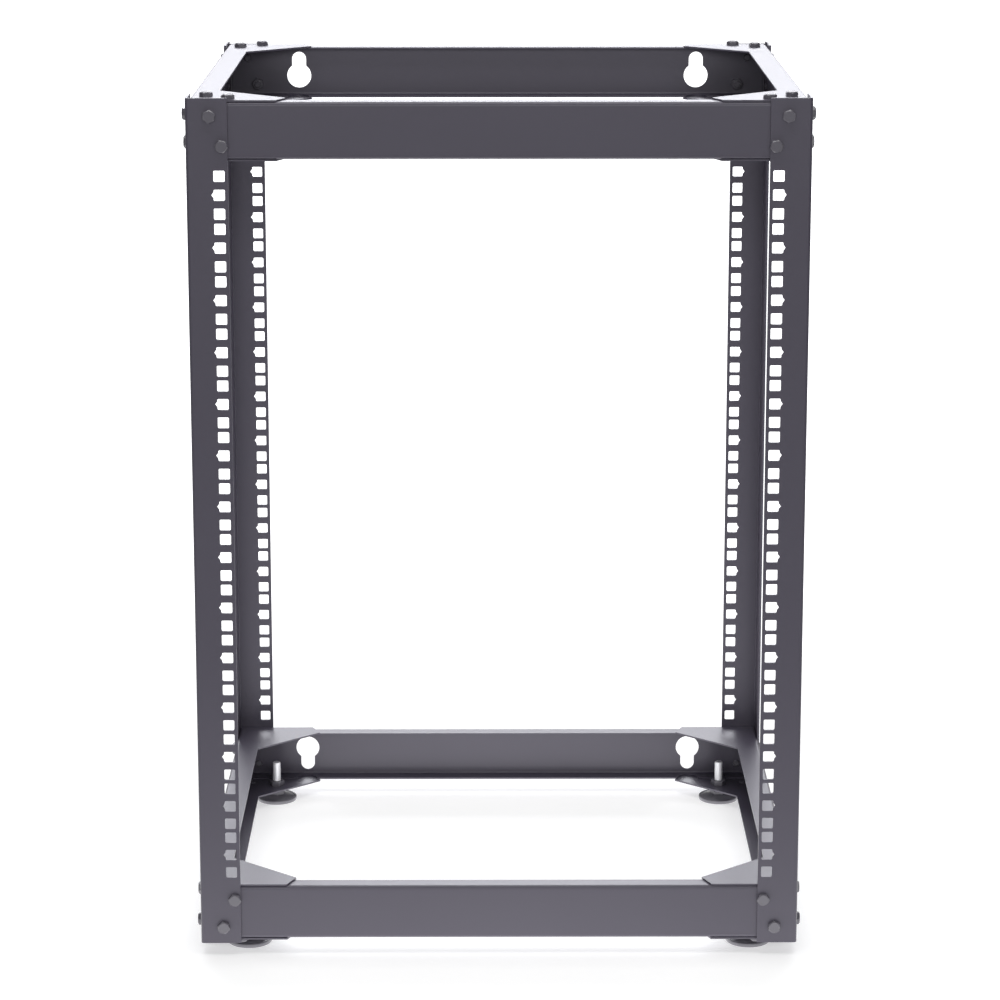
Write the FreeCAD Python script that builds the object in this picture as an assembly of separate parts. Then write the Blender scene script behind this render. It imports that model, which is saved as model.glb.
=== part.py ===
import FreeCAD, Part
import math
import os

from FreeCAD import Placement, Rotation, Vector

# A four post open frame rack, bolted together from bent sheet steel.
# Four perforated angle posts stand at the corners. Channel beams tie them across the front and the
# rear, and channel side rails with corner wings tie them along the sides, at the top and the bottom.
# The frame stands on four levelling feet. Lengths are in millimetres.
# The origin is on the floor under the middle of the frame. +Z is up and the front faces -Y.

# ---- Equipment bay ----
RACK_UNIT = 44.45
UNIT_COUNT = 14
BAY_WIDTH = 450.0
COLUMN_INSET = 7.55
FRAME_DEPTH = 450.0

# ---- Posts ----
POST_FLANGE = 35.0
POST_SHEET = 2.0
POST_END_MARGIN = 58.85
POST_FLOOR_GAP = 11.0
POST_BEND_RADIUS = 0.8

# ---- Square equipment holes ----
HOLE_SIDE = 9.5
HOLE_FIRST = 6.35
HOLE_PITCH = 15.875
HOLES_PER_UNIT = 3
NOTCH_DEPTH = 1.9
NOTCH_HEIGHT = 5.2

# ---- Bends of the beams and side rails ----
CHANNEL_BEND_RADIUS = 1.8

# ---- Front and rear beams ----
BEAM_HEIGHT = 48.0
BEAM_FLANGE = 16.0
BEAM_SHEET = 1.5
BEAM_END_CLEARANCE = 2.0

# ---- Keyholes in the rear beams ----
KEYHOLE_SPACING = 381.0
KEYHOLE_HEAD_RADIUS = 11.5
KEYHOLE_SLOT_RADIUS = 6.75
KEYHOLE_HEAD_FROM_END = 32.0
KEYHOLE_SLOT_FROM_END = 16.0
KEYHOLE_RELIEF_RADIUS = 10.0
RELIEF_SIDES = 24

# ---- Side rails ----
RAIL_SHEET = 1.5
RAIL_FLANGE = 22.0
RAIL_END_CLEARANCE = 1.0
RAIL_TOP_INSET = 2.0
WING_TIP_REACH = 80.5
WING_NOSE_REACH = 73.0
WING_TIP_SETBACK = 17.0
WING_ROOT_SETBACK = 67.0

# ---- Bolt holes, from a corner of the frame and from the end of its post ----
BOLT_HOLE_RADIUS = 3.4
SMALL_HOLE_SIDES = 8
UPPER_BOLT_INSET = 20.0
UPPER_BOLT_FROM_END = 15.0
LOWER_BOLT_INSET = 30.0
LOWER_BOLT_FROM_END = 40.0
OUTER_WING_BOLT = (15.5, 29.0)
INNER_WING_BOLT = (35.0, 12.0)

# ---- Levelling feet ----
FOOT_INSET_X = 40.0
FOOT_INSET_Y = 35.0
PAD_RADIUS = 19.5
PAD_RIM_HEIGHT = 3.5
PAD_SLOPE_HEIGHT = 2.5
PAD_HUB_ACROSS_FLATS = 14.0
PAD_HUB_HEIGHT = 3.0
PAD_HUB_MARGIN = 0.6
PAD_SIDES = 48
PAD_SOCKET_FLOOR = 2.0
STUD_RADIUS = 4.0
STUD_ABOVE_WING = 24.0
STUD_END_CHAMFER = 0.8
STUD_SIDES = 24
THREAD_CLEARANCE = 0.05
STUD_HOLE_CLEARANCE = 0.5
NUT_ACROSS_FLATS = 13.0
NUT_HEIGHT = 5.0
CUT_MARGIN = 1.0

# ---- Sizes that follow ----
COLUMN_SPACING = BAY_WIDTH + 2 * COLUMN_INSET
POST_HEIGHT = UNIT_COUNT * RACK_UNIT + 2 * POST_END_MARGIN
HALF_HEIGHT = POST_HEIGHT / 2
HALF_WIDTH = BAY_WIDTH / 2 + POST_FLANGE
HALF_DEPTH = FRAME_DEPTH / 2
CENTRE_HEIGHT = POST_FLOOR_GAP + HALF_HEIGHT
RAIL_HEIGHT = BEAM_HEIGHT + 2 * RAIL_SHEET
RAIL_TOP = HALF_HEIGHT - RAIL_TOP_INSET
RAIL_LENGTH = FRAME_DEPTH - 2 * (POST_SHEET + RAIL_END_CLEARANCE)
BEAM_TOP = RAIL_TOP - RAIL_SHEET
BEAM_LENGTH = 2 * (HALF_WIDTH - POST_SHEET - RAIL_SHEET - BEAM_END_CLEARANCE)
WING_FLOOR = POST_FLOOR_GAP + RAIL_TOP_INSET
WING_DECK = WING_FLOOR + RAIL_SHEET


def outline(corners):
    """Closed wire through (point, radius) corners; a radius above zero becomes a tangent arc."""
    edges = []
    stops = []
    for index, (point, radius) in enumerate(corners):
        back = (corners[index - 1][0] - point).normalize()
        ahead = (corners[(index + 1) % len(corners)][0] - point).normalize()
        if radius == 0:
            stops.append((point, point))
            continue
        half_angle = back.getAngle(ahead) / 2
        entry = point + back * (radius / math.tan(half_angle))
        leave = point + ahead * (radius / math.tan(half_angle))
        inward = (back + ahead).normalize()
        middle = point + inward * (radius / math.sin(half_angle) - radius)
        edges.append(Part.Arc(entry, middle, leave).toShape())
        stops.append((entry, leave))
    for index, (entry, leave) in enumerate(stops):
        edges.append(Part.makeLine(stops[index - 1][1], entry))
    return Part.Wire(Part.__sortEdges__(edges))


def plate(corners, travel):
    """Solid of an outline's face pushed along a vector."""
    return Part.Face(outline(corners)).extrude(travel)


def ring(sides, inner_radius, centre, axis):
    """Corners of a regular outline round a point, its flats at a radius, square to a main axis."""
    across = Vector(axis.y, axis.z, axis.x).normalize() * (inner_radius / math.cos(math.pi / sides))
    turn = Rotation(axis, 360 / sides)
    points = []
    for _ in range(sides):
        points.append(centre + across)
        across = turn.multVec(across)
    return points


def flat_face(points):
    """Flat face with these corners."""
    return Part.Face(Part.makePolygon(points + points[:1]))


def bar(sides, inner_radius, base, travel):
    """Bar with flat sides, pushed from a point along one of the main axes."""
    return flat_face(ring(sides, inner_radius, base, travel)).extrude(travel)


def slope(sides, low_radius, high_radius, base, height):
    """Upright frustum with flat sides, standing on a point."""
    low = ring(sides, low_radius, base, Vector(0, 0, height))
    high = ring(sides, high_radius, base + Vector(0, 0, height), Vector(0, 0, height))
    faces = [flat_face(low), flat_face(high)]
    for index in range(sides):
        faces.append(flat_face([low[index - 1], low[index], high[index], high[index - 1]]))
    return Part.Solid(Part.Shell(faces))


def mirrored(shape, side, face, level):
    """Copy of a front left top piece, flipped to the right, the rear or the bottom."""
    copy = shape.copy()
    if side == "right":
        copy = copy.mirror(Vector(), Vector(1, 0, 0))
    if face == "rear":
        copy = copy.mirror(Vector(), Vector(0, 1, 0))
    if level == "bottom":
        copy = copy.mirror(Vector(), Vector(0, 0, 1))
    return copy


def on_floor(shape):
    """Lift a piece modelled about the frame's centre to its height above the floor."""
    return shape.translated(Vector(0, 0, CENTRE_HEIGHT))


def save(shape, name):
    """Write one solid to its own file."""
    if len(shape.Solids) != 1 or not shape.isValid():
        raise ValueError(name + " is not one valid solid")
    shape.Solids[0].exportStep(os.path.join("parts", name + ".step"))


# ---- Bolt holes ----
# Each corner of the frame has two bolts through the front and two through the side of its post,
# and two upright bolts through the rail's wing. Depths along a bolt only have to pass the sheets.

def post_bolt_holes():
    """Holes through a post's front flange at its top end, and the same holes through its side."""
    reach = POST_SHEET + max(BEAM_SHEET, RAIL_SHEET) + 2 * CUT_MARGIN
    holes = []
    for inset, from_end in (
        (UPPER_BOLT_INSET, UPPER_BOLT_FROM_END),
        (LOWER_BOLT_INSET, LOWER_BOLT_FROM_END),
    ):
        height = HALF_HEIGHT - from_end
        front = Vector(inset - HALF_WIDTH, -HALF_DEPTH - CUT_MARGIN, height)
        left = Vector(-HALF_WIDTH - CUT_MARGIN, inset - HALF_DEPTH, height)
        holes.append(bar(SMALL_HOLE_SIDES, BOLT_HOLE_RADIUS, front, Vector(0, reach, 0)))
        holes.append(bar(SMALL_HOLE_SIDES, BOLT_HOLE_RADIUS, left, Vector(reach, 0, 0)))
    return holes


def wing_bolt_holes():
    """Upright holes through a rail's outer wing and the beam flange under it."""
    holes = []
    for inset_x, inset_y in (OUTER_WING_BOLT, INNER_WING_BOLT):
        base = Vector(inset_x - HALF_WIDTH, inset_y - HALF_DEPTH, BEAM_TOP - BEAM_SHEET - CUT_MARGIN)
        travel = Vector(0, 0, BEAM_SHEET + RAIL_SHEET + 2 * CUT_MARGIN)
        holes.append(bar(SMALL_HOLE_SIDES, BOLT_HOLE_RADIUS, base, travel))
    return holes


def at_corners(shapes, sides, faces, levels):
    """The front left top shapes repeated at every named corner."""
    copies = []
    for side in sides:
        for face in faces:
            for level in levels:
                copies += [mirrored(shape, side, face, level) for shape in shapes]
    return copies


# ---- Posts ----
# Steel angle with a square hole at every third of a unit, for captive nuts. The middle hole of each
# unit has a small notch towards the outside of the frame, which marks where a unit is centred.

def square_hole(height, notched):
    """Prism of one square hole through the front flange, centred on a height."""
    half = HOLE_SIDE / 2
    centre = Vector(-COLUMN_SPACING / 2, -HALF_DEPTH - CUT_MARGIN, height)
    corners = []
    for step_x, step_z in ((-1, -1), (1, -1), (1, 1), (-1, 1)):
        corners.append((centre + Vector(step_x * half, 0, step_z * half), 0))
    if notched:
        edge = centre - Vector(half, 0, 0)
        corners.append((edge + Vector(0, 0, NOTCH_HEIGHT / 2), 0))
        corners.append((edge - Vector(NOTCH_DEPTH, 0, 0), 0))
        corners.append((edge - Vector(0, 0, NOTCH_HEIGHT / 2), 0))
    return plate(corners, Vector(0, POST_SHEET + 2 * CUT_MARGIN, 0))


def post():
    """Front left post, about the frame's centre."""
    bend_outer_radius = POST_BEND_RADIUS + POST_SHEET
    corner = Vector(-HALF_WIDTH, -HALF_DEPTH, -HALF_HEIGHT)
    angle = plate([
        (corner, bend_outer_radius),
        (corner + Vector(POST_FLANGE, 0, 0), 0),
        (corner + Vector(POST_FLANGE, POST_SHEET, 0), 0),
        (corner + Vector(POST_SHEET, POST_SHEET, 0), POST_BEND_RADIUS),
        (corner + Vector(POST_SHEET, POST_FLANGE, 0), 0),
        (corner + Vector(0, POST_FLANGE, 0), 0),
    ], Vector(0, 0, POST_HEIGHT))
    cuts = at_corners(post_bolt_holes(), ["left"], ["front"], ["top", "bottom"])
    for unit in range(UNIT_COUNT):
        unit_base = POST_END_MARGIN - HALF_HEIGHT + unit * RACK_UNIT
        for index in range(HOLES_PER_UNIT):
            height = unit_base + HOLE_FIRST + index * HOLE_PITCH
            cuts.append(square_hole(height, index == HOLES_PER_UNIT // 2))
    return angle.cut(cuts)


# ---- Channels ----
# Beams and side rails are both sheet channels: an upright web between two flanges folded inwards.

def channel(length, height, flange, sheet, top):
    """Channel along X, its web's outer face on the XZ plane and its flanges pointing to +Y."""
    bend_outer_radius = CHANNEL_BEND_RADIUS + sheet
    low = top - height
    start = -length / 2
    return plate([
        (Vector(start, 0, low), bend_outer_radius),
        (Vector(start, flange, low), 0),
        (Vector(start, flange, low + sheet), 0),
        (Vector(start, sheet, low + sheet), CHANNEL_BEND_RADIUS),
        (Vector(start, sheet, top - sheet), CHANNEL_BEND_RADIUS),
        (Vector(start, flange, top - sheet), 0),
        (Vector(start, flange, top), 0),
        (Vector(start, 0, top), bend_outer_radius),
    ], Vector(length, 0, 0))


# ---- Front and rear beams ----
# The web lies behind the posts' perforated flanges. The rear beams also carry two keyholes, whose
# slots point away from the bay, with a round relief in both flanges for the head of the wall screw.

def beam():
    """Front top beam, about the frame's centre."""
    blank = channel(BEAM_LENGTH, BEAM_HEIGHT, BEAM_FLANGE, BEAM_SHEET, BEAM_TOP)
    blank.translate(Vector(0, POST_SHEET - HALF_DEPTH, 0))
    holes = post_bolt_holes() + wing_bolt_holes()
    return blank.cut(at_corners(holes, ["left", "right"], ["front"], ["top"]))


def keyhole():
    """Cutter for the left keyhole of the front top beam, with the reliefs in its flanges."""
    depth = BEAM_SHEET + 2 * CUT_MARGIN
    column = -KEYHOLE_SPACING / 2
    front = POST_SHEET - HALF_DEPTH - CUT_MARGIN
    head = Vector(column, front, HALF_HEIGHT - KEYHOLE_HEAD_FROM_END)
    tip = Vector(column, front, HALF_HEIGHT - KEYHOLE_SLOT_FROM_END)
    slot = Part.makeBox(2 * KEYHOLE_SLOT_RADIUS, depth, tip.z - head.z)
    slot.translate(head - Vector(KEYHOLE_SLOT_RADIUS, 0, 0))
    head_hole = Part.makeCylinder(KEYHOLE_HEAD_RADIUS, depth, head, Vector(0, 1, 0))
    tip_hole = Part.makeCylinder(KEYHOLE_SLOT_RADIUS, depth, tip, Vector(0, 1, 0))
    flange_edge = POST_SHEET + BEAM_FLANGE - HALF_DEPTH
    base = Vector(column, flange_edge, BEAM_TOP - BEAM_HEIGHT - CUT_MARGIN)
    travel = Vector(0, 0, BEAM_HEIGHT + 2 * CUT_MARGIN)
    relief = bar(RELIEF_SIDES, KEYHOLE_RELIEF_RADIUS, base, travel)
    return [slot, head_hole, tip_hole, relief]


# ---- Side rails ----
# The web lies inside the posts' side flanges, and the two flanges wrap over and under the beams.
# Each flange widens at both ends into a wing that reaches along the beam and squares the corner.

def wing(level):
    """Wing at the front end of the left rail's upper flange, as a flat plate at a height."""
    web = POST_SHEET - HALF_WIDTH
    end = POST_SHEET + RAIL_END_CLEARANCE - HALF_DEPTH
    fold = web + CHANNEL_BEND_RADIUS + RAIL_SHEET
    return plate([
        (Vector(fold, end, level), 0),
        (Vector(web + WING_NOSE_REACH, end, level), 0),
        (Vector(web + WING_TIP_REACH, end + WING_TIP_SETBACK, level), 0),
        (Vector(web + RAIL_FLANGE, end + WING_ROOT_SETBACK, level), 0),
        (Vector(fold, end + WING_ROOT_SETBACK, level), 0),
    ], Vector(0, 0, RAIL_SHEET))


def side_rail(foot_holes):
    """Left top rail, about the frame's centre. A bottom rail has a hole for each foot's stud."""
    blank = channel(RAIL_LENGTH, RAIL_HEIGHT, RAIL_FLANGE, RAIL_SHEET, RAIL_TOP)
    blank.Placement = Placement(Vector(POST_SHEET - HALF_WIDTH, 0, 0), Rotation(Vector(0, 0, 1), -90))
    wings = []
    for level in (RAIL_TOP - RAIL_SHEET, RAIL_TOP - RAIL_HEIGHT):
        wings += at_corners([wing(level)], ["left"], ["front", "rear"], ["top"])
    holes = post_bolt_holes() + wing_bolt_holes()
    if foot_holes:
        base = foot_place() + Vector(0, 0, RAIL_TOP - RAIL_SHEET - CUT_MARGIN)
        passage = Vector(0, 0, RAIL_SHEET + 2 * CUT_MARGIN)
        holes.append(bar(STUD_SIDES, STUD_RADIUS + STUD_HOLE_CLEARANCE, base, passage))
    drilled = blank.fuse(wings).cut(at_corners(holes, ["left"], ["front", "rear"], ["top"]))
    return drilled.removeSplitter()


# ---- Levelling feet ----
# A zinc plated stud screws through a nut on the lower wing and ends in a wide plastic pad. Turning
# the stud lowers the pad from the frame. Feet are modelled from the floor up.

def foot_place():
    """Axis of the front left foot."""
    return Vector(FOOT_INSET_X - HALF_WIDTH, FOOT_INSET_Y - HALF_DEPTH, 0)


def foot_pad():
    """Round pad with a sloped top and a hexagonal hub that takes the end of the stud."""
    slope_top = PAD_RIM_HEIGHT + PAD_SLOPE_HEIGHT
    hub_height = slope_top + PAD_HUB_HEIGHT
    shoulder = PAD_HUB_ACROSS_FLATS / 2 / math.cos(math.radians(30)) + PAD_HUB_MARGIN
    rim = bar(PAD_SIDES, PAD_RADIUS, Vector(), Vector(0, 0, PAD_RIM_HEIGHT))
    rim_top = Vector(0, 0, PAD_RIM_HEIGHT)
    dome = slope(PAD_SIDES, PAD_RADIUS, shoulder, rim_top, PAD_SLOPE_HEIGHT)
    hub = bar(6, PAD_HUB_ACROSS_FLATS / 2, Vector(), Vector(0, 0, hub_height))
    socket_floor = Vector(0, 0, PAD_SOCKET_FLOOR)
    socket = bar(STUD_SIDES, STUD_RADIUS + THREAD_CLEARANCE, socket_floor, Vector(0, 0, hub_height))
    return rim.fuse([dome, hub]).cut(socket).removeSplitter().translated(foot_place())


def foot_stud():
    """Stud from the pad's socket to its free end above the wing, its thread shown as flats."""
    length = WING_DECK + STUD_ABOVE_WING - PAD_SOCKET_FLOOR
    stud = bar(STUD_SIDES, STUD_RADIUS, Vector(0, 0, PAD_SOCKET_FLOOR), Vector(0, 0, length))
    free_end = [edge for edge in stud.Edges if edge.BoundBox.ZMin > length]
    return stud.makeChamfer(STUD_END_CHAMFER, free_end).translated(foot_place())


def foot_nut():
    """Hexagonal nut that stands on the lower wing and holds the stud."""
    base = Vector(0, 0, WING_DECK)
    rise = Vector(0, 0, NUT_HEIGHT)
    hexagon = bar(6, NUT_ACROSS_FLATS / 2, base, rise)
    bore = bar(STUD_SIDES, STUD_RADIUS + THREAD_CLEARANCE, base, rise)
    return hexagon.cut(bore).translated(foot_place())


# ---- Build ----
os.makedirs("parts", exist_ok=True)

front_left_post = post()
for face in ("front", "rear"):
    for side in ("left", "right"):
        save(on_floor(mirrored(front_left_post, side, face, "top")), "post_" + face + "_" + side)

front_beam = beam()
rear_beam = front_beam.cut(at_corners(keyhole(), ["left", "right"], ["front"], ["top"]))
for level in ("top", "bottom"):
    save(on_floor(mirrored(front_beam, "left", "front", level)), "beam_front_" + level)
    save(on_floor(mirrored(rear_beam, "left", "rear", level)), "beam_rear_" + level)

top_rail = side_rail(False)
bottom_rail = side_rail(True)
for side in ("left", "right"):
    save(on_floor(mirrored(top_rail, side, "front", "top")), "side_rail_top_" + side)
    save(on_floor(mirrored(bottom_rail, side, "front", "bottom")), "side_rail_bottom_" + side)

foot_pieces = {"foot_pad": foot_pad(), "foot_stud": foot_stud(), "foot_nut": foot_nut()}
for name, piece in foot_pieces.items():
    for face in ("front", "rear"):
        for side in ("left", "right"):
            save(mirrored(piece, side, face, "top"), "_".join([name, face, side]))
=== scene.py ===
import math
import random

import bpy
from mathutils import Matrix, Vector


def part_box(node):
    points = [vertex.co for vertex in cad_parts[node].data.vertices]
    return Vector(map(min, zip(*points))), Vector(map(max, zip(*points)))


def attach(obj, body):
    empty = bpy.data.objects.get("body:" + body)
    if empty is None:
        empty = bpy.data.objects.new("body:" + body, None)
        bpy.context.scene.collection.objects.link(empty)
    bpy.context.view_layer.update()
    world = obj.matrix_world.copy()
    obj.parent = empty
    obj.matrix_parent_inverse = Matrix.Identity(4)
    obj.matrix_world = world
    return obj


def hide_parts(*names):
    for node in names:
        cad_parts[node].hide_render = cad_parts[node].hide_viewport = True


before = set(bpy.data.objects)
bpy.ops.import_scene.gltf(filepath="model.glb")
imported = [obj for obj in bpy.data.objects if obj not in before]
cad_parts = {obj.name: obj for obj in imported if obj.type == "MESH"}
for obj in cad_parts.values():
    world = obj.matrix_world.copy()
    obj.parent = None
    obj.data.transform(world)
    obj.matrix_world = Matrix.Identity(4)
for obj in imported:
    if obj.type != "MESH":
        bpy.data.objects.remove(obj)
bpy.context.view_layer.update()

# ---- Powder coat on the sheet steel ----
# Posts, beams and rails are bent steel sheet with one baked coat of dark grey polyester powder.
# It is a satin skin with a faint orange peel and a slow drift in its tone.


class Socket:
    """A shader value that can be used in plain arithmetic."""

    def __init__(self, material, output):
        self.material = material
        self.output = output

    def math(self, operation, first, second):
        return self.material.math(operation, first, second)

    def __add__(self, other):
        return self.math("ADD", self, other)

    def __radd__(self, other):
        return self.math("ADD", other, self)

    def __rsub__(self, other):
        return self.math("SUBTRACT", other, self)

    def __mul__(self, other):
        return self.math("MULTIPLY", self, other)

    def __truediv__(self, other):
        return self.math("DIVIDE", self, other)

    def __pow__(self, other):
        return self.math("POWER", self, other)


class Finish:
    """A material, or the world, with a node tree that is filled through one method."""

    def __init__(self, owner):
        owner.use_nodes = True
        self.owner = owner
        self.tree = owner.node_tree
        self.tree.nodes.clear()

    def node(self, kind, settings=None, inputs=None, output=0):
        made = self.tree.nodes.new(kind)
        for name, value in (settings or {}).items():
            setattr(made, name, value)
        for name, value in (inputs or {}).items():
            if isinstance(value, Socket):
                self.tree.links.new(value.output, made.inputs[name])
            else:
                made.inputs[name].default_value = value
        return Socket(self, made.outputs[output])

    def mix(self, factor, first, second):
        return self.node(
            "ShaderNodeMix", {"data_type": "RGBA"}, {0: factor, 6: first, 7: second}, output=2
        )

    def math(self, operation, first, second):
        return self.node("ShaderNodeMath", {"operation": operation}, {0: first, 1: second})

    def noise(self, scale, detail, roughness=0.5):
        place = self.node("ShaderNodeTexCoord", output=3)
        return self.node(
            "ShaderNodeTexNoise",
            None,
            {"Vector": place, "Scale": scale, "Detail": detail, "Roughness": roughness},
        )

    def surface(self, shader):
        end = self.tree.nodes.new("ShaderNodeOutputMaterial")
        self.tree.links.new(shader.output, end.inputs["Surface"])
        return self.owner


def powder_coat(name, dark, light, smoothness=0.38):
    coat = Finish(bpy.data.materials.new(name))
    drift = coat.noise(9.0, 3.0)
    peel = coat.noise(420.0, 2.0)
    bumps = coat.node(
        "ShaderNodeBump",
        None,
        {"Strength": 0.02, "Distance": 0.0001, "Height": peel},
    )
    shader = coat.node(
        "ShaderNodeBsdfPrincipled",
        None,
        {
            "Base Color": coat.mix(drift * 0.8 + peel * 0.2, dark, light),
            "Roughness": smoothness + peel * 0.06,
            "Normal": bumps,
        },
    )
    return coat.surface(shader)


steel_coat = powder_coat("steel_powder_coat", (0.053, 0.047, 0.068, 1), (0.061, 0.055, 0.077, 1))

# ---- Beams and side rails ----
# Channels folded on a press brake from 1.5 mm sheet. The side rails' flanges widen into wings that
# wrap over the ends of the beams, and the rear beams have keyholes for hanging on a wall.
for name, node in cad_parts.items():
    if name.startswith(("beam", "side_rail")):
        node.data.materials.clear()
        node.data.materials.append(steel_coat)

# ---- Posts ----
# Angles folded from 2 mm sheet. One flange is punched with square holes for captive nuts, three
# to a unit, and the punch leaves small rounds in their corners; the middle one has a notch.
# The rear posts' rear flange ends just above the side rail's deck.
HOLE_CORNER_RADIUS = 0.001
HOLE_CORNER_SEGMENTS = 3
SQUARE_CORNER = (85, 95)
PLAIN_END = 0.045
MERGE_DISTANCE = 0.00001
FLAT_WITHIN = math.radians(0.5)
POST_SMOOTH_ANGLE = math.radians(20)
DECK_LIP = 0.0003
TRIM_DEPTH = 0.004
TRIM_HEIGHT = 0.01
TRIM_FROM_REAR = 0.001
TRIM_FROM_SIDE = 0.003


def only(*pieces):
    bpy.ops.object.select_all(action="DESELECT")
    for piece in pieces:
        piece.select_set(True)
    bpy.context.view_layer.objects.active = pieces[0]


def punched_corners(post, name):
    """Edges through the sheet in the perforated stretch, and how far the wall turns at each."""
    low, high = (Vector(corner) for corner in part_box(name))
    walls = {}
    for wall in post.data.polygons:
        for key in wall.edge_keys:
            walls.setdefault(key, []).append(wall.normal)
    corners = []
    for edge in post.data.edges:
        start, end = (post.data.vertices[index].co for index in edge.vertices)
        run = end - start
        level = low.z + PLAIN_END < start.z < high.z - PLAIN_END
        if level and abs(run.y) > 0.001 and abs(run.x) + abs(run.z) < 0.0001:
            first, second = walls[edge.key]
            corners.append((edge, math.degrees(first.angle(second))))
    return corners


def round_corners(post, name):
    only(post)
    bpy.ops.object.mode_set(mode="EDIT")
    bpy.ops.mesh.select_mode(type="EDGE")
    bpy.ops.mesh.select_all(action="DESELECT")
    bpy.ops.object.mode_set(mode="OBJECT")
    for edge, turn in punched_corners(post, name):
        edge.select = SQUARE_CORNER[0] < turn < SQUARE_CORNER[1]
    bpy.ops.object.mode_set(mode="EDIT")
    bpy.ops.mesh.bevel(
        offset=HOLE_CORNER_RADIUS, segments=HOLE_CORNER_SEGMENTS, affect="EDGES"
    )
    bpy.ops.object.mode_set(mode="OBJECT")


def trim_rear_flange(post, name, side):
    low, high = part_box(name)
    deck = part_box("side_rail_top_" + side)[1].z + DECK_LIP
    bpy.ops.object.select_all(action="DESELECT")
    bpy.ops.mesh.primitive_cube_add(size=1)
    trim = bpy.context.object
    inwards = TRIM_FROM_SIDE if side == "left" else -TRIM_FROM_SIDE
    centre = (low.x + high.x) / 2 + inwards
    trim.data.transform(
        Matrix.Translation((centre, high.y - TRIM_FROM_REAR, deck + TRIM_HEIGHT / 2))
        @ Matrix.Diagonal((high.x - low.x, TRIM_DEPTH, TRIM_HEIGHT, 1))
    )
    only(post)
    cut = post.modifiers.new("trimmed", "BOOLEAN")
    cut.operation = "DIFFERENCE"
    cut.object = trim
    bpy.ops.object.modifier_apply(modifier="trimmed")
    bpy.data.objects.remove(trim)


for side in ("left", "right"):
    for face in ("front", "rear"):
        name = "_".join(["post", face, side])
        cad_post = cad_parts[name]
        cad_post.data.materials.clear()
        cad_post.data.materials.append(steel_coat)
        post = cad_post.copy()
        post.data = cad_post.data.copy()
        post.name = "folded_" + name
        bpy.context.collection.objects.link(post)
        only(post)
        bpy.ops.object.mode_set(mode="EDIT")
        bpy.ops.mesh.select_all(action="SELECT")
        bpy.ops.mesh.remove_doubles(threshold=MERGE_DISTANCE)
        bpy.ops.mesh.dissolve_limited(angle_limit=FLAT_WITHIN)
        bpy.ops.object.mode_set(mode="OBJECT")
        round_corners(post, name)
        if face == "rear":
            trim_rear_flange(post, name, side)
        only(post)
        bpy.ops.object.shade_smooth_by_angle(angle=POST_SMOOTH_ANGLE)
        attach(post, "frame")
        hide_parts(name)

# ---- Bolts of the frame ----
# Hexagon bolts with a cone turned on the head, blackened like the coat, go through both sheets
# at every corner. The second bolt of a front or rear face has a plain nut inside, the others turn
# into threads formed in the inner sheet. They come out of the bag turned any way.
HEAD_ACROSS_FLATS = 0.010
HEAD_HEIGHT = 0.004
HEAD_CHAMFER = 0.0013
TURNED_SIDES = 48
TURNING_ROOM = 0.00002
SHANK_SIDES = 20
SHANK_RADIUS = 0.0031
SHANK_PAST_NUT = 0.003
SHANK_CHAMFER = 0.0006
NUT_ACROSS_FLATS = 0.010
NUT_HEIGHT = 0.005
SHANK_PAST_SHEET = 0.001


def pick(piece, chosen):
    """Open a piece for editing with just the chosen faces selected."""
    only(piece)
    bpy.ops.object.mode_set(mode="EDIT")
    bpy.ops.mesh.select_mode(type="FACE")
    bpy.ops.mesh.select_all(action="DESELECT")
    bpy.ops.object.mode_set(mode="OBJECT")
    for face in piece.data.polygons:
        face.select = bool(chosen(face))
    bpy.ops.object.mode_set(mode="EDIT")


def bevel_end(piece, end, size, segments=1):
    """Bevel the rim of a bar's end face; end is -1 for the bottom or 1 for the top."""
    pick(piece, lambda face: face.normal.z * end > 0.9)
    bpy.ops.mesh.bevel(offset=size, segments=segments, affect="EDGES")
    bpy.ops.object.mode_set(mode="OBJECT")


def rod(sides, radius, base, top):
    height = top - base
    bpy.ops.object.select_all(action="DESELECT")
    bpy.ops.mesh.primitive_cylinder_add(
        vertices=sides, radius=radius, depth=height, location=(0, 0, base + height / 2)
    )
    bpy.ops.object.transform_apply(location=True, rotation=False, scale=False)
    return bpy.context.object


def join(pieces):
    only(*pieces)
    bpy.ops.object.join()
    return bpy.context.object


def turned_hexagon(across_flats, base, top, chamfer, end):
    """Hexagon bar with the corners of one end rounded off by a cone; end is -1 or 1."""
    corner_radius = across_flats / 2 / math.cos(math.radians(30))
    hexagon = rod(6, corner_radius, base, top)
    blank = rod(TURNED_SIDES, corner_radius + TURNING_ROOM, base, top)
    bevel_end(blank, end, chamfer)
    only(hexagon)
    cut = hexagon.modifiers.new("turned", "BOOLEAN")
    cut.operation = "INTERSECT"
    cut.object = blank
    bpy.ops.object.modifier_apply(modifier="turned")
    bpy.data.objects.remove(blank)
    return hexagon


def hex_bolt(grip, has_nut=False):
    """Bolt along +Z with the underside of its head at the origin and any nut past the grip."""
    pieces = [turned_hexagon(HEAD_ACROSS_FLATS, -HEAD_HEIGHT, 0, HEAD_CHAMFER, -1)]
    reach = grip + SHANK_PAST_SHEET
    if has_nut:
        nut_top = grip + NUT_HEIGHT
        pieces.append(turned_hexagon(NUT_ACROSS_FLATS, grip, nut_top, HEAD_CHAMFER, 1))
        reach = nut_top + SHANK_PAST_NUT
    shank = rod(SHANK_SIDES, SHANK_RADIUS, 0, reach)
    bevel_end(shank, 1, SHANK_CHAMFER)
    return join([*pieces, shank])


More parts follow.
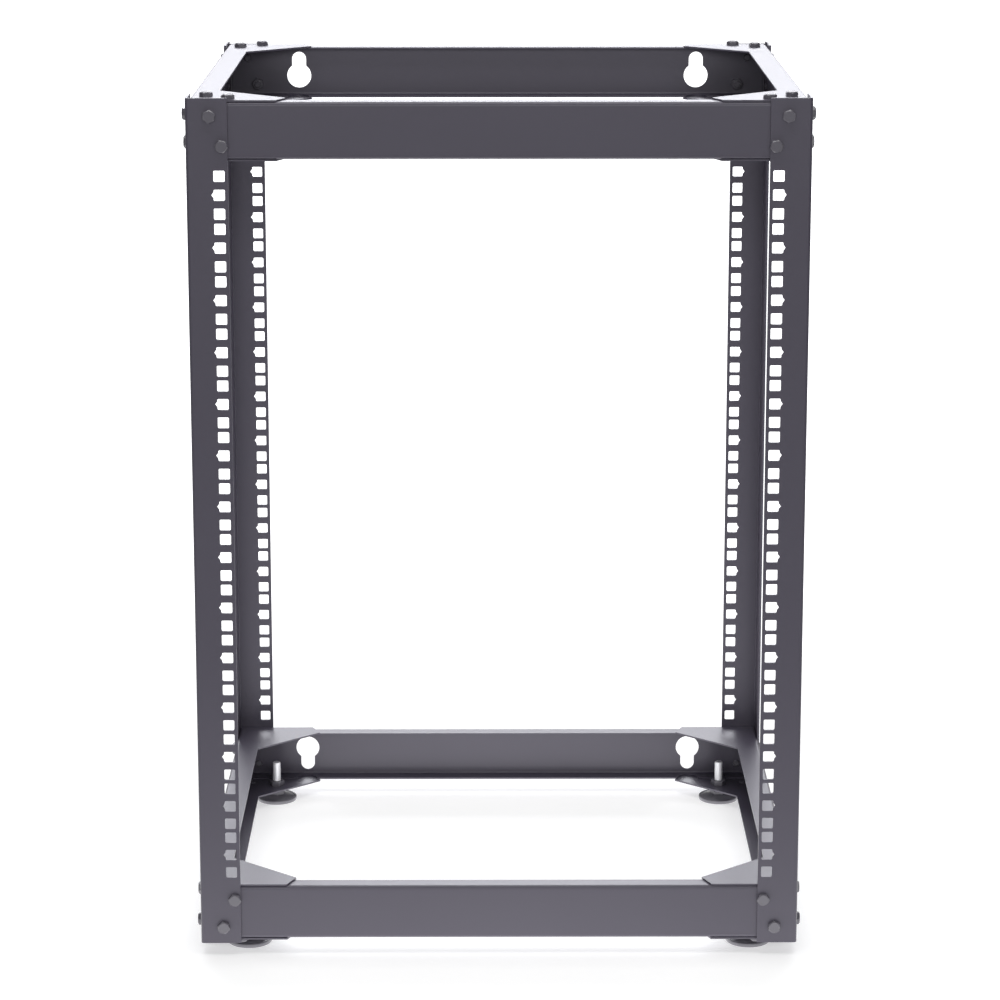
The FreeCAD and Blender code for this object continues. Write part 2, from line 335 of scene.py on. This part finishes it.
post_low, post_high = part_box("post_front_left")
rail_low, rail_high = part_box("side_rail_top_left")
beam_low, beam_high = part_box("beam_front_top")
frame_middle = (post_low.z + post_high.z) / 2
post_sheet = beam_low.y - post_low.y
rail_sheet = rail_high.z - beam_high.z
rail_drop = post_high.z - rail_high.z
pattern = {
    "nutted": hex_bolt(post_sheet + rail_sheet, has_nut=True),
    "sheets": hex_bolt(post_sheet + rail_sheet),
    "wing": hex_bolt(2 * rail_sheet),
    "rail": hex_bolt(rail_sheet),
}
# Each bolt of a corner: pattern, place from the corner's outer edges and the post's end, direction.
CORNER_BOLTS = [
    ("sheets", (0.020, 0.0, 0.015), (0, 1, 0)),
    ("nutted", (0.030, 0.0, 0.040), (0, 1, 0)),
    ("sheets", (0.0, 0.020, 0.015), (1, 0, 0)),
    ("sheets", (0.0, 0.030, 0.040), (1, 0, 0)),
    ("rail", (0.0155, 0.029, rail_drop), (0, 0, -1)),
    ("wing", (0.035, 0.012, rail_drop), (0, 0, -1)),
]

black_steel = powder_coat(
    "blackened_bolt_steel", (0.098, 0.093, 0.110, 1), (0.116, 0.111, 0.130, 1), smoothness=0.2
)
spin = random.Random(14)
for side, flip_x in (("left", 1), ("right", -1)):
    for face, flip_y in (("front", 1), ("rear", -1)):
        for level, flip_z in (("top", 1), ("bottom", -1)):
            bolts = []
            for kind, place, direction in CORNER_BOLTS:
                bolt = pattern[kind].copy()
                bolt.data = pattern[kind].data.copy()
                bpy.context.collection.objects.link(bolt)
                across, along, down = place
                corner = Vector((
                    (post_low.x + across) * flip_x,
                    (post_low.y + along) * flip_y,
                    frame_middle + (post_high.z - down - frame_middle) * flip_z,
                ))
                axis = Vector((direction[0] * flip_x, direction[1] * flip_y, direction[2] * flip_z))
                turn = axis.to_track_quat("Z", "Y").to_matrix().to_4x4()
                twist = Matrix.Rotation(spin.uniform(0, math.pi / 3), 4, "Z")
                bolt.data.transform(Matrix.Translation(corner) @ turn @ twist)
                bolts.append(bolt)
            corner_bolts = join(bolts)
            corner_bolts.name = "bolts_" + "_".join([face, side, level])
            corner_bolts.data.materials.clear()
            corner_bolts.data.materials.append(black_steel)
            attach(corner_bolts, "frame")
for piece in pattern.values():
    bpy.data.objects.remove(piece)

# ---- Levelling feet ----
# A bright zinc plated stud screws down through a black nut on the lower wing. It ends in a pad
# moulded of black nylon, round with a soft rim, a shallow groove, a sloped top and a hex hub.
THREAD_PITCH = 0.00125
THREAD_DEPTH = 0.0004
THREAD_RINGS_PER_TURN = 6
STUD_SIDES = 24
STUD_RADIUS = 0.004
STUD_CHAMFER = 0.0009
PAD_SIDES = 64
# Radius and height of each ring from the pad's rim to the foot of its hub.
PAD_RINGS = (
    (0.0193, 0.0031),
    (0.0187, 0.0035),
    (0.0176, 0.0036),
    (0.0169, 0.0032),
    (0.0160, 0.0033),
    (0.0154, 0.0038),
    (0.0090, 0.0056),
    (0.0084, 0.0060),
)
PAD_RIM_RADIUS = 0.0195
PAD_RIM_HEIGHT = 0.0025
PAD_HUB_ACROSS_FLATS = 0.014
PAD_HUB_TOP = 0.009
PAD_HUB_CHAMFER = 0.0008
PAD_HUB_SINK = 0.0002
PAD_FOOT_ROUND = 0.0005
FOOT_NUT_ACROSS_FLATS = 0.013
FOOT_NUT_CHAMFER = 0.0009
FOOT_SMOOTH_ANGLE = math.radians(35)


def moulded_material(name, dark, light, roughness):
    finish = Finish(bpy.data.materials.new(name))
    grain = finish.noise(1600.0, 3.0)
    bumps = finish.node(
        "ShaderNodeBump",
        None,
        {"Strength": 0.15, "Distance": 0.0002, "Height": grain},
    )
    shader = finish.node(
        "ShaderNodeBsdfPrincipled",
        None,
        {
            "Base Color": finish.mix(finish.noise(60.0, 3.0), dark, light),
            "Roughness": roughness + grain * 0.12,
            "Normal": bumps,
        },
    )
    return finish.surface(shader)


def plated_material(name, dark, light):
    finish = Finish(bpy.data.materials.new(name))
    bloom = finish.noise(240.0, 4.0)
    shader = finish.node(
        "ShaderNodeBsdfPrincipled",
        None,
        {
            "Base Color": finish.mix(bloom, dark, light),
            "Roughness": 0.3 + bloom * 0.15,
            "Metallic": 0.4,
        },
    )
    return finish.surface(shader)


def threaded_stud(base, top):
    """Rod whose sides are cut into rings and drawn in along a helix."""
    stud = rod(STUD_SIDES, STUD_RADIUS, base, top)
    only(stud)
    bpy.ops.object.mode_set(mode="EDIT")
    bpy.ops.mesh.select_mode(type="EDGE")
    bpy.ops.mesh.select_all(action="DESELECT")
    bpy.ops.object.mode_set(mode="OBJECT")
    points = stud.data.vertices
    for edge in stud.data.edges:
        start, end = (points[index].co for index in edge.vertices)
        edge.select = abs(start.z - end.z) > THREAD_PITCH
    bpy.ops.object.mode_set(mode="EDIT")
    rings = round((top - base) / THREAD_PITCH * THREAD_RINGS_PER_TURN)
    bpy.ops.mesh.subdivide(number_cuts=rings - 1)
    bpy.ops.object.mode_set(mode="OBJECT")
    for point in points:
        turn = math.atan2(point.co.y, point.co.x) / math.tau
        phase = (point.co.z / THREAD_PITCH - turn) % 1
        radius = STUD_RADIUS - THREAD_DEPTH * abs(2 * phase - 1)
        radius = min(radius, STUD_RADIUS - STUD_CHAMFER + (top - point.co.z))
        around = Vector((point.co.x, point.co.y)).normalized() * radius
        point.co.x, point.co.y = around
    return stud


def nylon_pad():
    pad = rod(PAD_SIDES, PAD_RIM_RADIUS, 0, PAD_RIM_HEIGHT)
    pick(pad, lambda face: face.normal.z > 0.9)
    radius, height = PAD_RIM_RADIUS, PAD_RIM_HEIGHT
    for next_radius, next_height in PAD_RINGS:
        bpy.ops.mesh.extrude_region_move(
            TRANSFORM_OT_translate={"value": (0, 0, next_height - height)}
        )
        ratio = next_radius / radius
        bpy.ops.transform.resize(value=(ratio, ratio, 1), center_override=(0, 0, next_height))
        radius, height = next_radius, next_height
    bpy.ops.object.mode_set(mode="OBJECT")
    bevel_end(pad, -1, PAD_FOOT_ROUND, segments=2)
    hub_base = height - PAD_HUB_SINK
    hub = turned_hexagon(PAD_HUB_ACROSS_FLATS, hub_base, PAD_HUB_TOP, PAD_HUB_CHAMFER, 1)
    return join([pad, hub])


zinc = plated_material("bright_zinc_plate", (0.90, 0.90, 0.93, 1), (0.96, 0.96, 0.98, 1))
nylon = moulded_material(
    "black_nylon", (0.130, 0.126, 0.142, 1), (0.155, 0.150, 0.168, 1), roughness=0.32
)
for face in ("front", "rear"):
    for side in ("left", "right"):
        place = "_".join([face, side])
        stud_low, stud_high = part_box("foot_stud_" + place)
        nut_low, nut_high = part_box("foot_nut_" + place)
        axis = Vector(((stud_low.x + stud_high.x) / 2, (stud_low.y + stud_high.y) / 2, 0))
        nut = turned_hexagon(
            FOOT_NUT_ACROSS_FLATS, nut_low.z, nut_high.z, FOOT_NUT_CHAMFER, 1
        )
        stud = threaded_stud(stud_low.z, stud_high.z)
        foot = [
            (stud, "threaded_stud_", "foot_stud_", zinc, "zinc_stud"),
            (nylon_pad(), "nylon_pad_", "foot_pad_", nylon, "pad_plastic"),
            (nut, "jam_nut_", "foot_nut_", black_steel, "black_nut"),
        ]
        for piece, title, node, finish, slot in foot:
            piece.name = title + place
            twist = Matrix.Rotation(spin.uniform(0, 1), 4, "Z")
            piece.data.transform(Matrix.Translation(axis) @ twist)
            piece.data.materials.clear()
            piece.data.materials.append(finish)
            only(piece)
            bpy.ops.object.shade_smooth_by_angle(angle=FOOT_SMOOTH_ANGLE)
            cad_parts[node + place].data.materials.clear()
            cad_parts[node + place].data.materials.append(finish)
            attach(piece, "frame" if node == "foot_nut_" else "foot_" + place)
            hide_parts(node + place)

# ---- Floor, light and camera ----
# A white paper floor under an overhead box, a narrow light over the front edge and a front light.
# To the camera the paper glows from half strength near the frame to plain white further out. To
# all other rays it carries a painted glow near the frame: a pool of emitted light that stands in
# for light bounced off the paper and lights the lower frame from below. A tall, faintly blue light
# behind the frame is mirrored by the level faces of the steel, and the room they mirror is dimmer
# than the background.
# FLOOR_GLOW_REACH and FLOOR_GLOW set the reach and strength of the painted glow around the frame.
FLOOR_GLOW_REACH = 0.6
FLOOR_GLOW = 2.1
ROOM_FILL = 0.12
bpy.ops.object.select_all(action="DESELECT")
bpy.ops.mesh.primitive_plane_add(size=30, location=(0, 0, 0))
floor = bpy.context.object
floor.name = "studio_floor"
paper = Finish(bpy.data.materials.new("white_paper_floor"))
seen = paper.node("ShaderNodeLightPath", output=0)
spot = paper.node("ShaderNodeTexCoord", output=3)
reach = paper.node("ShaderNodeVectorMath", {"operation": "LENGTH"}, {0: spot}, output=1)
# Painted glow: a pool of emitted light around the frame that stands in for light bounced off the
# paper.
painted_glow_pool = paper.math("EXPONENT", (reach / FLOOR_GLOW_REACH) ** 2 * -1, 0)
paper_white = paper.node("ShaderNodeBsdfDiffuse", None, {"Color": (0.6, 0.6, 0.6, 1)})
far = paper.node(
    "ShaderNodeMapRange",
    {"interpolation_type": "SMOOTHSTEP"},
    {"Value": reach, "From Min": 0.5, "From Max": 1.1, "To Min": 0.5, "To Max": 1.0},
)
# Camera rays see the backdrop glow rising to white away from the frame. All other rays see the
# painted glow pool.
shine = seen * far + (1 - seen) * painted_glow_pool * FLOOR_GLOW
glow = paper.node("ShaderNodeEmission", None, {"Strength": shine})
paper_and_painted_glow = paper.node("ShaderNodeAddShader", None, {0: paper_white, 1: glow})
floor.data.materials.append(paper.surface(paper_and_painted_glow))

room = Finish(bpy.data.worlds.new("studio_room"))
bpy.context.scene.world = room.owner
seen = room.node("ShaderNodeLightPath", output=0)
glossy = room.node("ShaderNodeLightPath", output=3)
through = room.node("ShaderNodeLightPath", output=6)
direction = room.node("ShaderNodeTexCoord", output=0)
behind = room.node(
    "ShaderNodeMapRange",
    {"interpolation_type": "SMOOTHSTEP"},
    {
        "Value": room.node("ShaderNodeSeparateXYZ", None, {0: direction}, output=1),
        "From Min": -0.3,
        "From Max": 0.5,
    },
)
shown = seen + through
mirrored = glossy * (ROOM_FILL + behind * 0.24)
scattered = (1 - glossy) * (ROOM_FILL + behind * 0.1)
strength = shown + (1 - shown) * (mirrored + scattered)
sky = room.node("ShaderNodeBackground", None, {"Color": (1, 1, 1, 1), "Strength": strength})
end = room.tree.nodes.new("ShaderNodeOutputWorld")
room.tree.links.new(sky.output, end.inputs["Surface"])


def soft_box(name, place, target, size, power, tint=(1, 1, 1)):
    bpy.ops.object.light_add(type="AREA", location=place)
    lamp = bpy.context.object
    lamp.name = name
    lamp.data.shape = "RECTANGLE"
    lamp.data.size, lamp.data.size_y = size
    lamp.data.energy = power
    lamp.data.color = tint
    lamp.rotation_euler = (Vector(target) - Vector(place)).to_track_quat("-Z", "Y").to_euler()
    lamp.visible_camera = False


soft_box("overhead_light", (0, 0.3, 2.6), (0, 0.301, 0), (2.4, 2.0), 34)
soft_box("edge_light", (0, -0.65, 2.05), (0, -0.2, 0.4), (1.8, 0.5), 9)
soft_box("front_light", (0, -3.4, 1.5), (0, 0, 0.5), (3.5, 0.7), 50)
soft_box("back_light", (0, 6.0, 3.55), (0, 0, 0.4), (7.0, 3.1), 460, (0.94, 0.95, 1))

CAMERA_PLACE = (-0.0091, -2.9231, 1.0765)
CAMERA_PITCH = -12.144
CAMERA_YAW = -0.21
CAMERA_FOCUS = 3.2765
bpy.ops.object.camera_add(location=CAMERA_PLACE)
camera = bpy.context.object
camera.rotation_euler = (math.radians(90 + CAMERA_PITCH), 0, math.radians(CAMERA_YAW))
camera.data.sensor_width = 36
camera.data.lens = CAMERA_FOCUS * camera.data.sensor_width
camera.data.shift_y = -0.1
camera.data.clip_end = 60
bpy.context.scene.camera = camera
bpy.context.scene.view_settings.view_transform = "Standard"
